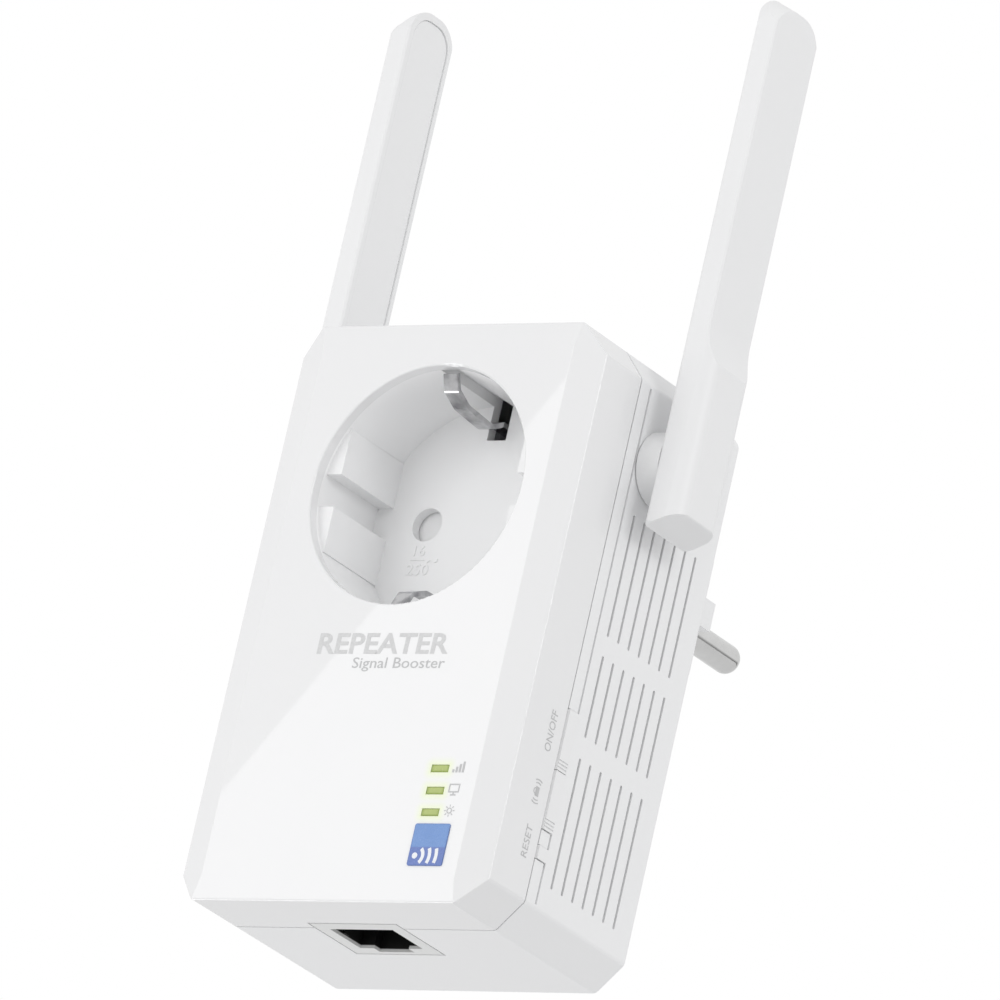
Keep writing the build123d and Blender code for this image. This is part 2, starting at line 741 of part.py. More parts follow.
def section_bar():
    """The antenna's D-shaped section as a bar along Z."""
    half = antenna_width / 2
    flat = outer_flat_width / 2
    depth = antenna_thickness
    shoulder_y = half - section_draft
    turn = (section_shoulder + (depth - section_shoulder) * 0.72, flat + (shoulder_y - flat) * 0.64)
    lines = Polyline((0, -half), (section_shoulder, -shoulder_y))
    lines += ThreePointArc((section_shoulder, -shoulder_y), (turn[0], -turn[1]), (depth, -flat))
    lines += Line((depth, -flat), (depth, flat))
    lines += ThreePointArc((depth, flat), turn, (section_shoulder, shoulder_y))
    lines += Polyline((section_shoulder, shoulder_y), (0, half), (0, -half))
    face = make_face(lines)
    face = fillet([v for v in face.vertices() if v.X < 0.01], inner_edge_round)
    place = Pos(antenna_x, hinge_y, hinge_z - antenna_below - 1)
    return place * extrude(face, antenna_above + antenna_below + 2, dir=(0, 0, 1))


def outer_recess():
    """What the long flat on the antenna's outer side takes off, with its curved run-out."""
    flat = blade_thickness
    depth = antenna_thickness - flat
    fall = recess_top_of_ramp - recess_foot_of_ramp
    half_turn = atan(depth / fall)
    radius = fall / sin(2 * half_turn)
    high = antenna_above + 2
    middle = (flat + radius * (1 - cos(half_turn)), recess_top_of_ramp - radius * sin(half_turn))
    lines = Line((flat, high), (flat, recess_top_of_ramp))
    lines += ThreePointArc((flat, recess_top_of_ramp), middle, (antenna_thickness, recess_foot_of_ramp))
    lines += Polyline((antenna_thickness, recess_foot_of_ramp), (antenna_thickness + 2, recess_foot_of_ramp),
                      (antenna_thickness + 2, high), (flat, high))
    face = Plane.XZ * make_face(lines)
    cutter = extrude(face, antenna_width / 2 + 2, both=True)
    return Pos(antenna_x, hinge_y, hinge_z) * cutter


def foot_cut():
    """What the sloped lower end takes off."""
    wide = antenna_width
    low = hinge_z - antenna_below
    return slab([(antenna_x, hinge_y - wide, low), (antenna_x + 2 * antenna_thickness, hinge_y - wide,
                                                    low + 2 * foot_slant),
                 (antenna_x + 2 * antenna_thickness, hinge_y - wide, low - 3),
                 (antenna_x, hinge_y - wide, low - 3)], (0, 2 * wide, 0))


def tip_bevel():
    """A tapered block with a rounded top, which slopes the antenna's tip on its outer side."""
    half = antenna_width / 2 + tip_slant
    top = antenna_above
    low = -antenna_below - 4 * tip_slant
    front = tip_front_radius + tip_slant
    rear = tip_rear_radius + tip_slant
    c = cos(radians(45))
    lines = Line((-half, low), (-half, top - front))
    lines += ThreePointArc((-half, top - front), (-half + front * (1 - c), top - front * (1 - c)), (-half + front, top))
    lines += Line((-half + front, top), (half - rear, top))
    lines += ThreePointArc((half - rear, top), (half - rear * (1 - c), top - rear * (1 - c)), (half, top - rear))
    lines += Polyline((half, top - rear), (half, low), (-half, low))
    face = Pos(antenna_x, hinge_y, hinge_z) * (Plane.YZ * make_face(lines))
    return extrude(face, antenna_thickness + 0.5, taper=degrees(atan(tip_slant / blade_thickness)))


def lid_outline(inset, x0, x1):
    """The antenna's side view shrunk by inset, between two thicknesses."""
    strip = block(antenna_x + x0, antenna_x + x1, hinge_y - antenna_width / 2 + inset,
                  hinge_y + antenna_width / 2 - inset, hinge_z - antenna_below + inset,
                  hinge_z + antenna_above - inset)
    return round_tip(strip, inset)


def edges_at(shape, test):
    """The edges whose middle point passes a test."""
    return [edge for edge in shape.edges() if test(edge @ 0.5)]


def soften_antenna(body):
    """Round the edges of the antenna's foot, long flat and tip."""
    flat_x = antenna_x + blade_thickness
    outer_x = antenna_x + antenna_thickness
    tip_z = hinge_z + antenna_above
    middle_z = (hinge_z + recess_top_of_ramp + tip_z) / 2
    foot = edges_at(body, lambda p: abs(p.X - outer_x) < 0.05 and p.Z < hinge_z - 5 and abs(p.Y - hinge_y) < 1)
    body = fillet(foot, foot_edge_round)
    blade = edges_at(body, lambda p: abs(p.X - flat_x) < 0.05 and abs(p.Z - middle_z) < 6)
    body = fillet(blade, blade_edge_round)
    tip = edges_at(body, lambda p: abs(p.X - flat_x) < 0.3 and p.Z > tip_z - 5 and abs(p.Y - hinge_y) < 1.5)
    return fillet(tip, tip_edge_round)


def antenna_shell():
    body = antenna_profile() & section_bar()
    body -= outer_recess()
    body -= foot_cut()
    body = soften_antenna(body & tip_bevel())
    body -= lid_outline(lid_rim, -1, lid_thickness)
    room = lid_outline(lid_rim + antenna_wall * 0.8, lid_thickness - 0.1, blade_thickness - antenna_wall)
    body -= room
    deep = block(antenna_x + lid_thickness, antenna_x + antenna_thickness - antenna_wall,
                 hinge_y - 3.4, hinge_y + 3.4, hinge_z - antenna_below + 4.6, hinge_z + recess_foot_of_ramp - 2)
    return body - deep


def antenna_lid():
    lid = lid_outline(lid_rim + press_gap, lid_sink, lid_thickness)
    lid = chamfer(lid.faces().sort_by(Axis.X)[0].edges(), 0.2)
    return lid - rod_x(antenna_x - 1, antenna_x + 2, hinge_y, hinge_z, stub_radius + press_gap)


def hinge_barrel():
    """The antenna's round root: a boss, a journal in the casing wall, and a stub in the antenna's lid."""
    tail_x = inner_x - bearing_length - washer_thickness - clip_thickness - 2 * face_gap - barrel_tail
    clip_x = inner_x - bearing_length - washer_thickness - clip_thickness - face_gap
    barrel = rod_x(half_width + 0.1, antenna_x, hinge_y, hinge_z, barrel_radius)
    barrel = chamfer(barrel.edges().sort_by(Axis.X)[0], 0.2)
    barrel += rod_x(tail_x, half_width + 0.2, hinge_y, hinge_z, journal_radius)
    barrel += rod_x(antenna_x - 0.1, antenna_x + lid_thickness, hinge_y, hinge_z, stub_radius)
    groove = rod_x(clip_x - 0.02, clip_x + clip_thickness + 0.02, hinge_y, hinge_z, journal_radius + 1)
    groove -= rod_x(clip_x - 1, clip_x + clip_thickness + 1, hinge_y, hinge_z, clip_groove_radius)
    barrel -= groove
    return barrel - rod_x(tail_x - 1, antenna_x + 3, hinge_y, hinge_z, barrel_bore)


def retaining_clip():
    clip_x = inner_x - bearing_length - washer_thickness - clip_thickness - face_gap
    ring = rod_x(clip_x, clip_x + clip_thickness, hinge_y, hinge_z, clip_radius)
    ring -= rod_x(clip_x - 1, clip_x + 2, hinge_y, hinge_z, clip_groove_radius + press_gap)
    opening = block(clip_x - 1, clip_x + 2, hinge_y - 2.6, hinge_y + 2.6, hinge_z - clip_radius - 1,
                    hinge_z - 2.0)
    return ring - opening


def friction_washer():
    washer_x = inner_x - bearing_length - washer_thickness
    ring = rod_x(washer_x, washer_x + washer_thickness, hinge_y, hinge_z, clip_radius)
    return ring - rod_x(washer_x - 1, washer_x + 1, hinge_y, hinge_z, journal_radius + 0.3)


def tube(points, radii, name):
    """A round lead through points, with an arc at each inner point."""
    line = FilletPolyline(*[Vector(*p) for p in points], radius=radii)
    plane = Plane(origin=line @ 0, z_dir=line % 0)
    lead = sweep(plane * Circle(coax_radius), path=line)
    expected = line.length * 3.14159265 * coax_radius ** 2
    print(f"{name}: length {line.length:.1f}, radii {radii}, volume ratio {lead.volume / expected:.4f}")
    return lead


def run_out(points):
    """The corner radii that a route's runs allow."""
    radii = []
    for before, corner, after in zip(points, points[1:], points[2:]):
        first = Vector(*corner) - Vector(*before)
        second = Vector(*after) - Vector(*corner)
        turn = radians(first.get_angle(second))
        radii.append(round(0.45 * min(first.length, second.length) / tan(turn / 2), 2))
    return radii


def antenna_coax(side):
    """The lead from the hinge's bore down to the radio board."""
    lead_y = jack_front_y + 1.7
    points = [(antenna_x - 0.5, hinge_y, hinge_z), (20.4, hinge_y, hinge_z),
              (20.7, hinge_y + 0.4, hinge_z - 8.6), (22.2, hinge_y - 1.8, hinge_z - 17.0),
              (23.8, lead_y + 3.0, hinge_z - 24.4), (24.1, lead_y, hinge_z - 30.6),
              (24.1, lead_y, hinge_z - connector_drop)]
    radii = run_out(points)
    radii[0] = 2.9
    name = "antenna_coax_right" if side > 0 else "antenna_coax_left"
    return tube([(side * x, y, z) for x, y, z in points], radii, name)


def coax_connector(side):
    """The small snap connector on the radio board's back."""
    end_z = hinge_z - connector_drop
    seat = block(22.5, 25.4, jack_front_y, jack_front_y + 0.9, end_z - 3.2, end_z)
    plug = block(22.9, 25.3, jack_front_y + 0.8, jack_front_y + 2.5, end_z - 2.8, end_z)
    return seat + plug if side > 0 else mirrored(seat + plug)


def antenna_feed():
    """The short lead inside the antenna, from the hinge axis up to the radiating strip."""
    top = hinge_z + feed_height
    lead_x = antenna_x + 2.0
    points = [(antenna_x - 0.4, hinge_y, hinge_z), (lead_x + 0.1, hinge_y, hinge_z), (lead_x, hinge_y, top)]
    return tube(points, [1.4], "antenna_feed")


def antenna_element():
    top = hinge_z + feed_height
    centre_x = antenna_x + blade_thickness - antenna_wall - element_thickness / 2
    strip = block(centre_x - element_thickness / 2, centre_x + element_thickness / 2,
                  hinge_y - element_width / 2, hinge_y + element_width / 2, top, top + element_length)
    slot = block(centre_x - 1, centre_x + 1, hinge_y - 0.5, hinge_y + 0.5, top + 3, top + element_length / 2)
    return strip - slot


# ---------------------------------------------------------------- fasteners
def case_screws():
    screws = Part()
    for x, z in screw_points():
        head_y = back_y - screw_head_length - 0.4
        screw = rod_y(x, z, head_y, head_y + screw_head_length, screw_head_radius)
        screw = fillet(screw.faces().sort_by(Axis.Y)[-1].edges(), 0.6)
        screw += rod_y(x, z, seam_y, head_y, screw_radius)
        screw += rod_y(x, z, seam_y - 6.5, seam_y, screw_radius - 0.22)
        for turn in (0, 90):
            cross = Box(2.6, 2.0, 0.6)
            screw -= Pos(x, head_y + screw_head_length, z) * Rot(0, turn, 0) * cross
        screws += screw
    return screws


# ---------------------------------------------------------------- write every piece
os.makedirs("parts", exist_ok=True)
pieces = {
    "front_cover": front_cover(),
    "rear_cover": rear_cover(),
    "socket_well": socket_well(),
    "shutter": shutter(),
    "contact_carrier": contact_carrier(),
    "earth_strap": earth_strap(),
    "line_contact": socket_contact(1),
    "neutral_contact": socket_contact(-1),
    "plug_body": plug_body(),
    "line_pin": plug_pin(1),
    "neutral_pin": plug_pin(-1),
    "plug_earth_contacts": plug_earth_contact(),
    "main_board": board(main_board_y),
    "power_board": board(power_board_y),
    "insulation_sheet": insulation_sheet(),
    "transformer_core": transformer(),
    "transformer_winding": transformer_winding(),
    "capacitors": capacitors(),
    "line_filter": line_filter(),
    "fuse": fuse(),
    "rf_shield": rf_shield(),
    "board_chips": board_chips(),
    "status_leds": status_leds(),
    "light_guide": light_guide(),
    "badge": badge(),
    "ethernet_jack": ethernet_jack(),
    "ethernet_contacts": ethernet_contacts(),
    "power_switch": switch_block("power_button"),
    "pair_switch": switch_block("pair_button"),
    "reset_switch": switch_block("reset_button"),
    "power_button": side_button("power_button", 3),
    "pair_button": side_button("pair_button", 3),
    "reset_button": side_button("reset_button", 0),
    "case_screws": case_screws(),
    "antenna_coax_right": antenna_coax(1),
    "antenna_coax_left": antenna_coax(-1),
    "coax_connector_right": coax_connector(1),
    "coax_connector_left": coax_connector(-1),
}
antenna_pieces = {
    "antenna_shell": antenna_shell(),
    "antenna_lid": antenna_lid(),
    "antenna_element": antenna_element(),
    "antenna_feed": antenna_feed(),
    "hinge_barrel": hinge_barrel(),
    "retaining_clip": retaining_clip(),
    "friction_washer": friction_washer(),
}
for piece_name, piece in antenna_pieces.items():
    pieces[f"{piece_name}_right"] = piece
    pieces[f"{piece_name}_left"] = mirrored(piece)
for piece_name, piece in pieces.items():
    save(piece, piece_name)
print(len(pieces), "pieces written")
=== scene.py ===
import bpy, math
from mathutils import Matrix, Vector


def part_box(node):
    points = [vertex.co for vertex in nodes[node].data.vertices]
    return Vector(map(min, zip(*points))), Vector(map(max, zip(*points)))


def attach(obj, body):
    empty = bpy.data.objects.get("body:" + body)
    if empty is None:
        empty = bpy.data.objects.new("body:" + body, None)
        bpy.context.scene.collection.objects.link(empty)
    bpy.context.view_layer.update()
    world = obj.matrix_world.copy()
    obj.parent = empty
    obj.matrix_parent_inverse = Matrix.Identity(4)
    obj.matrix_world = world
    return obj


mm = 0.001
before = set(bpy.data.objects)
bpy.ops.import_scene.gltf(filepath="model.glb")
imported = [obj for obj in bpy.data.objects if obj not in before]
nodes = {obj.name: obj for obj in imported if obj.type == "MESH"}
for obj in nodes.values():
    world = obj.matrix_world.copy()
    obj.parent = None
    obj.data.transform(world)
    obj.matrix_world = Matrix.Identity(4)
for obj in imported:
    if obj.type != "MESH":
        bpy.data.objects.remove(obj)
bpy.ops.object.select_all(action='DESELECT')
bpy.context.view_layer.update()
print("frame loaded:", len(nodes), "nodes")


# small helpers for building materials
def newMaterial(name):
    mat = bpy.data.materials.new(name)
    mat.use_nodes = True
    tree = mat.node_tree
    shader = tree.nodes["Principled BSDF"]
    return mat, tree, shader


def setSockets(shader, values):
    for socket, value in values.items():
        shader.inputs[socket].default_value = value


def objectCoords(tree):
    return tree.nodes.new("ShaderNodeTexCoord").outputs["Object"]


# how far along X and along Z a point lies
def placeXZ(tree, coords):
    split = tree.nodes.new("ShaderNodeSeparateXYZ")
    tree.links.new(coords, split.inputs[0])
    return split.outputs["X"], split.outputs["Z"]


def noise(tree, coords, scale, detail=3.0, roughness=0.5):
    tex = tree.nodes.new("ShaderNodeTexNoise")
    tex.inputs["Scale"].default_value = scale
    tex.inputs["Detail"].default_value = detail
    tex.inputs["Roughness"].default_value = roughness
    tree.links.new(coords, tex.inputs["Vector"])
    return tex.outputs["Fac"]


def remap(tree, value, fromRange, toRange):
    node = tree.nodes.new("ShaderNodeMapRange")
    sockets = ("From Min", "From Max", "To Min", "To Max")
    for socket, number in zip(sockets, (*fromRange, *toRange)):
        node.inputs[socket].default_value = number
    tree.links.new(value, node.inputs["Value"])
    return node.outputs["Result"]


def mixColours(tree, factor, first, second):
    node = tree.nodes.new("ShaderNodeMix")
    node.data_type = 'RGBA'
    # the numbers of the sockets that a mix of colours uses
    for socket, value in ((0, factor), (6, first), (7, second)):
        if isinstance(value, bpy.types.NodeSocket):
            tree.links.new(value, node.inputs[socket])
        else:
            node.inputs[socket].default_value = (*value, 1)
    return node.outputs[2]


def maths(tree, operation, *values):
    node = tree.nodes.new("ShaderNodeMath")
    node.operation = operation
    for index, value in enumerate(values):
        if isinstance(value, (int, float)):
            node.inputs[index].default_value = value
        else:
            tree.links.new(value, node.inputs[index])
    return node.outputs[0]


def awayFrom(tree, value, place):
    return maths(tree, 'ABSOLUTE', maths(tree, 'SUBTRACT', value, place))


def unevenGloss(tree, shader, pattern, gloss, patternRange=(0.3, 0.7)):
    tree.links.new(remap(tree, pattern, patternRange, gloss), shader.inputs["Roughness"])


def addBump(tree, shader, height, strength, distance):
    node = tree.nodes.new("ShaderNodeBump")
    node.inputs["Strength"].default_value = strength
    node.inputs["Distance"].default_value = distance
    tree.links.new(height, node.inputs["Height"])
    tree.links.new(node.outputs["Normal"], shader.inputs["Normal"])


# moulded plastics: cast colour with a faint flow pattern, a fine mould grain and slightly uneven gloss
mould = {"flow": 45, "flowDetail": 4, "flowRange": (0.35, 0.65), "wear": 260, "wearRange": (0.2, 0.8),
         "smoother": 0.012, "rougher": 0.018, "grainDetail": 2, "grainStrength": 0.35, "index": 1.49}


def mouldedPlastic(name, look):
    mat, tree, shader = newMaterial(name)
    coords = objectCoords(tree)
    flow = noise(tree, coords, mould["flow"], mould["flowDetail"])
    base = mixColours(tree, remap(tree, flow, mould["flowRange"], (0, 1)), look["colour"], look["tint"])
    tree.links.new(base, shader.inputs["Base Color"])
    gloss = (look["gloss"] - mould["smoother"], look["gloss"] + mould["rougher"])
    unevenGloss(tree, shader, noise(tree, coords, mould["wear"]), gloss, mould["wearRange"])
    grain = noise(tree, coords, look["grain"], mould["grainDetail"])
    addBump(tree, shader, grain, mould["grainStrength"], look["depth"] * mm)
    setSockets(shader, {"IOR": mould["index"]})
    return mat


# depth is the grain's, in millimetres
plastics = {
    "rearWhite": {"colour": (0.86, 0.862, 0.868), "tint": (0.852, 0.855, 0.861),
                  "gloss": 0.36, "grain": 4200, "depth": 0.010},
    "wellWhite": {"colour": (0.91, 0.912, 0.916), "tint": (0.907, 0.909, 0.913),
                  "gloss": 0.40, "grain": 3000, "depth": 0.004},
    "shutterWhite": {"colour": (0.90, 0.902, 0.906), "tint": (0.88, 0.883, 0.888),
                     "gloss": 0.35, "grain": 4200, "depth": 0.010},
    "plugWhite": {"colour": (0.855, 0.857, 0.862), "tint": (0.845, 0.847, 0.853),
                  "gloss": 0.38, "grain": 3600, "depth": 0.012},
    "antennaWhite": {"colour": (0.845, 0.847, 0.852), "tint": (0.838, 0.840, 0.845),
                     "gloss": 0.42, "grain": 3200, "depth": 0.006},
    "buttonWhite": {"colour": (0.855, 0.857, 0.861), "tint": (0.845, 0.847, 0.852),
                    "gloss": 0.36, "grain": 3800, "depth": 0.010},
    "carrierGrey": {"colour": (0.42, 0.43, 0.45), "tint": (0.37, 0.38, 0.40),
                    "gloss": 0.45, "grain": 4200, "depth": 0.016},
    "switchBlack": {"colour": (0.022, 0.022, 0.024), "tint": (0.035, 0.035, 0.038),
                    "gloss": 0.48, "grain": 4200, "depth": 0.02},
    "tapeAmber": {"colour": (0.68, 0.47, 0.10), "tint": (0.58, 0.38, 0.07),
                  "gloss": 0.32, "grain": 1800, "depth": 0.02},
    "ferriteGrey": {"colour": (0.055, 0.055, 0.06), "tint": (0.085, 0.083, 0.085),
                    "gloss": 0.62, "grain": 5200, "depth": 0.03},
    "fuseCeramic": {"colour": (0.74, 0.71, 0.64), "tint": (0.68, 0.65, 0.58),
                    "gloss": 0.5, "grain": 3800, "depth": 0.02},
    "washerFibre": {"colour": (0.17, 0.12, 0.08), "tint": (0.24, 0.17, 0.11),
                    "gloss": 0.8, "grain": 6200, "depth": 0.03},
    "coaxBlack": {"colour": (0.018, 0.018, 0.02), "tint": (0.028, 0.028, 0.03),
                  "gloss": 0.42, "grain": 3800, "depth": 0.016},
    "ledEpoxy": {"colour": (0.88, 0.88, 0.72), "tint": (0.82, 0.82, 0.60),
                 "gloss": 0.25, "grain": 3800, "depth": 0.006},
    "filmClear": {"colour": (0.76, 0.75, 0.66), "tint": (0.72, 0.71, 0.61),
                  "gloss": 0.3, "grain": 1600, "depth": 0.01},
}
plastic = {name: mouldedPlastic(name, look) for name, look in plastics.items()}
print("plastics ready")

# metals: drawn or turned grain along one way, and faint stains; on the earth clip the dark second colour is
# painted reflection
plating = {"streakDetail": 4, "streakRoughness": 0.6, "stainsAndPaintedReflections": 320, "stainAndPaintedReflectionRange": (0.35, 0.7),
           "smoothest": 0.7, "roughest": 1.4, "streakStrength": 0.3}


def platedMetal(name, look):
    mat, tree, shader = newMaterial(name)
    coords = objectCoords(tree)
    mapping = tree.nodes.new("ShaderNodeMapping")
    mapping.inputs["Scale"].default_value = look["stretch"]
    tree.links.new(coords, mapping.inputs["Vector"])
    streaks = noise(tree, mapping.outputs["Vector"], look["grain"],
                    plating["streakDetail"], plating["streakRoughness"])
    # faint stains on most metals; on the earth clip these patches are painted reflection
    stainsAndPaintedReflections = remap(tree, noise(tree, coords, plating["stainsAndPaintedReflections"]), plating["stainAndPaintedReflectionRange"], (0, 1))
    tree.links.new(mixColours(tree, stainsAndPaintedReflections, look["colour"], look["stainAndPaintedReflection"]), shader.inputs["Base Color"])
    gloss = (look["gloss"] * plating["smoothest"], look["gloss"] * plating["roughest"])
    unevenGloss(tree, shader, streaks, gloss)
    addBump(tree, shader, streaks, plating["streakStrength"], look["depth"] * mm)
    setSockets(shader, {"Metallic": 1.0})
    return mat


# stretch is small along the way the grain runs
metals = {
    "nickelPlate": {"colour": (0.74, 0.74, 0.735), "stainAndPaintedReflection": (0.67, 0.67, 0.665),
                    "gloss": 0.12, "grain": 900, "stretch": (1, 0.15, 1), "depth": 0.01},
    # the earth clip's dark second colour is painted reflection: dark patches standing in for dark
    # surroundings mirrored in its chrome
    "clipNickel": {"colour": (0.62, 0.62, 0.63), "stainAndPaintedReflection": (0.20, 0.20, 0.21),
                   "gloss": 0.07, "grain": 900, "stretch": (1, 0.15, 0.15), "depth": 0.006},
    "contactBrass": {"colour": (0.75, 0.55, 0.24), "stainAndPaintedReflection": (0.60, 0.42, 0.17),
                     "gloss": 0.28, "grain": 900, "stretch": (1, 0.2, 1), "depth": 0.01},
    "contactGilt": {"colour": (0.90, 0.68, 0.28), "stainAndPaintedReflection": (0.80, 0.58, 0.22),
                    "gloss": 0.16, "grain": 900, "stretch": (1, 1, 1), "depth": 0.01},
    "shieldTin": {"colour": (0.60, 0.61, 0.62), "stainAndPaintedReflection": (0.50, 0.51, 0.52),
                  "gloss": 0.34, "grain": 700, "stretch": (0.1, 1, 1), "depth": 0.01},
    "canAluminium": {"colour": (0.55, 0.56, 0.58), "stainAndPaintedReflection": (0.46, 0.47, 0.49),
                     "gloss": 0.3, "grain": 700, "stretch": (1, 0.1, 1), "depth": 0.01},
    "screwSteel": {"colour": (0.48, 0.49, 0.50), "stainAndPaintedReflection": (0.36, 0.37, 0.38),
                   "gloss": 0.3, "grain": 1200, "stretch": (1, 1, 1), "depth": 0.01},
    "clipSteel": {"colour": (0.36, 0.37, 0.39), "stainAndPaintedReflection": (0.28, 0.29, 0.30),
                  "gloss": 0.35, "grain": 900, "stretch": (1, 1, 1), "depth": 0.01},
    "elementCopper": {"colour": (0.72, 0.38, 0.22), "stainAndPaintedReflection": (0.60, 0.29, 0.16),
                      "gloss": 0.3, "grain": 900, "stretch": (1, 1, 0.1), "depth": 0.01},
}
metal = {name: platedMetal(name, look) for name, look in metals.items()}

# green resist over a grid of fine tracks
boardLook = {"resist": (0.012, 0.085, 0.035), "track": (0.03, 0.17, 0.075), "cells": 420,
             "trackEdge": (0.28, 0.34), "haze": 900, "gloss": (0.25, 0.4),
             "trackStrength": 0.4, "trackHeight": 0.03}


def circuitBoard():
    mat, tree, shader = newMaterial("circuitBoard")
    coords = objectCoords(tree)
    cells = tree.nodes.new("ShaderNodeTexVoronoi")
    cells.distance = 'MANHATTAN'
    cells.inputs["Scale"].default_value = boardLook["cells"]
    tree.links.new(coords, cells.inputs["Vector"])
    tracks = remap(tree, cells.outputs["Distance"], boardLook["trackEdge"], (1, 0))
    base = mixColours(tree, tracks, boardLook["resist"], boardLook["track"])
    tree.links.new(base, shader.inputs["Base Color"])
    unevenGloss(tree, shader, noise(tree, coords, boardLook["haze"]), boardLook["gloss"])
    addBump(tree, shader, tracks, boardLook["trackStrength"], boardLook["trackHeight"] * mm)
    return mat


boardGreen = circuitBoard()
print("metals and board ready")

# the three lights' windows in the front cover, and a painted green glow on the white round them, standing in
# for their light
lightSpots = {"x": 16.7 * mm, "heights": (-53.78 * mm, -50.26 * mm, -46.67 * mm), "halfWidth": 1.55 * mm,
              "halfHeight": 0.52 * mm, "reach": 1.7 * mm, "fade": 1.7, "paintedGlow": (0.80, 0.89, 0.48),
              "strength": 0.75}
frontLook = {"colour": (0.835, 0.836, 0.841), "tint": (0.828, 0.829, 0.835), "gloss": 0.32, "grain": 2600,
             "depth": 0.003, "coat": 1.0, "coatGloss": 0.015, "specular": 0.2}


# how far past a window's edge a point lies, 0 inside it
def pastEdge(tree, value, middle, halfSize):
    return maths(tree, 'MAXIMUM', maths(tree, 'SUBTRACT', awayFrom(tree, value, middle), halfSize), 0)


def frontCoverWhite():
    mat = mouldedPlastic("frontCoverWhite", frontLook)
    tree = mat.node_tree
    shader = tree.nodes["Principled BSDF"]
    setSockets(shader, {"Coat Weight": frontLook["coat"], "Coat Roughness": frontLook["coatGloss"],
                        "Specular IOR Level": frontLook["specular"]})
    base = shader.inputs["Base Color"].links[0].from_socket
    alongX, alongZ = placeXZ(tree, objectCoords(tree))
    paintedGlow = None
    # painted glow: the windows' green light is painted into the white's colour, fading with distance from
    # each window
    for height in lightSpots["heights"]:
        dx = pastEdge(tree, alongX, lightSpots["x"], lightSpots["halfWidth"])
        dz = pastEdge(tree, alongZ, height, lightSpots["halfHeight"])
        squares = maths(tree, 'ADD', maths(tree, 'MULTIPLY', dx, dx), maths(tree, 'MULTIPLY', dz, dz))
        near = remap(tree, maths(tree, 'SQRT', squares), (0, lightSpots["reach"]), (1, 0))
        glow = maths(tree, 'POWER', near, lightSpots["fade"])
        paintedGlow = glow if paintedGlow is None else maths(tree, 'MAXIMUM', paintedGlow, glow)
    amount = maths(tree, 'MULTIPLY', paintedGlow, lightSpots["strength"])
    tree.links.new(mixColours(tree, amount, base, lightSpots["paintedGlow"]), shader.inputs["Base Color"])
    return mat


# the lit ends of the light guide, brighter in the middle and darker along their lower edge
windowLook = {"middle": (0.335, 0.40, 0.125), "rim": (0.22, 0.29, 0.055), "rimFrom": 1.1 * mm,
              "foot": (0.08 * mm, 0.32 * mm), "footLight": 0.1, "cloud": 900, "cloudLight": (0.85, 1.0),
              "haze": 1800, "gloss": (0.18, 0.3), "grain": 2200, "grainStrength": 0.2, "depth": 0.01,
              "emission": 0.28, "index": 1.49}


def lightGreen():
    mat, tree, shader = newMaterial("lightGreen")
    coords = objectCoords(tree)
    alongX, alongZ = placeXZ(tree, coords)
    side = awayFrom(tree, alongX, lightSpots["x"])
    core = remap(tree, side, (windowLook["rimFrom"], lightSpots["halfWidth"]), (1, 0))
    for height in lightSpots["heights"]:
        low = awayFrom(tree, alongZ, height - lightSpots["halfHeight"])
        foot = remap(tree, low, windowLook["foot"], (windowLook["footLight"], 1))
        core = maths(tree, 'MULTIPLY', core, foot)
    cloud = remap(tree, noise(tree, coords, windowLook["cloud"]), (0.3, 0.7), windowLook["cloudLight"])
    base = mixColours(tree, maths(tree, 'MULTIPLY', core, cloud), windowLook["rim"], windowLook["middle"])
    for socket in ("Base Color", "Emission Color"):
        tree.links.new(base, shader.inputs[socket])
    unevenGloss(tree, shader, noise(tree, coords, windowLook["haze"]), windowLook["gloss"])
    setSockets(shader, {"Emission Strength": windowLook["emission"], "IOR": windowLook["index"]})
    grain = noise(tree, coords, windowLook["grain"])
    addBump(tree, shader, grain, windowLook["grainStrength"], windowLook["depth"] * mm)
    return mat


# the badge is a printed film: blue with a darker band along its foot and a thin dark rim
badgeLook = {"blue": (0.150, 0.285, 0.60), "cloud": (0.162, 0.30, 0.62), "cloudScale": 700,
             "cloudRange": (0.35, 0.65), "band": (0.125, 0.195, 0.50),
             "bandTop": 3.0 * mm, "bandEdge": 0.1 * mm,
             "rim": (0.08, 0.16, 0.42), "rimWidth": 0.16 * mm,
             "haze": 1500, "gloss": (0.22, 0.34), "grain": 3600, "grainStrength": 0.25, "depth": 0.008}


def badgeBlue():
    mat, tree, shader = newMaterial("badgeBlue")
    coords = objectCoords(tree)
    low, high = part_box("badge")
    alongX, alongZ = placeXZ(tree, coords)
    cloud = remap(tree, noise(tree, coords, badgeLook["cloudScale"]), badgeLook["cloudRange"], (0, 1))
    base = mixColours(tree, cloud, badgeLook["blue"], badgeLook["cloud"])
    bandTop = low.z + badgeLook["bandTop"]
    band = remap(tree, alongZ, (bandTop - badgeLook["bandEdge"], bandTop + badgeLook["bandEdge"]), (1, 0))
    base = mixColours(tree, band, base, badgeLook["band"])
    rims = []
    for along, start, end in ((alongX, low.x, high.x), (alongZ, low.z, high.z)):
        half = (end - start) / 2
        fromMiddle = awayFrom(tree, along, (start + end) / 2)
        rims.append(remap(tree, fromMiddle, (half - badgeLook["rimWidth"], half), (0, 1)))
    base = mixColours(tree, maths(tree, 'MAXIMUM', *rims), base, badgeLook["rim"])
    tree.links.new(base, shader.inputs["Base Color"])
    unevenGloss(tree, shader, noise(tree, coords, badgeLook["haze"]), badgeLook["gloss"])
    grain = noise(tree, coords, badgeLook["grain"])
    addBump(tree, shader, grain, badgeLook["grainStrength"], badgeLook["depth"] * mm)
    return mat


# the jack is pale along its lip and black further in, inside its opening
jackLook = {"colour": (0.76, 0.765, 0.76), "tint": (0.76, 0.765, 0.76), "gloss": 0.40, "grain": 4200,
            "depth": 0.012, "cavity": (0.006, 0.006, 0.006), "lipDepth": 0.5 * mm, "lipEdge": 0.06 * mm}


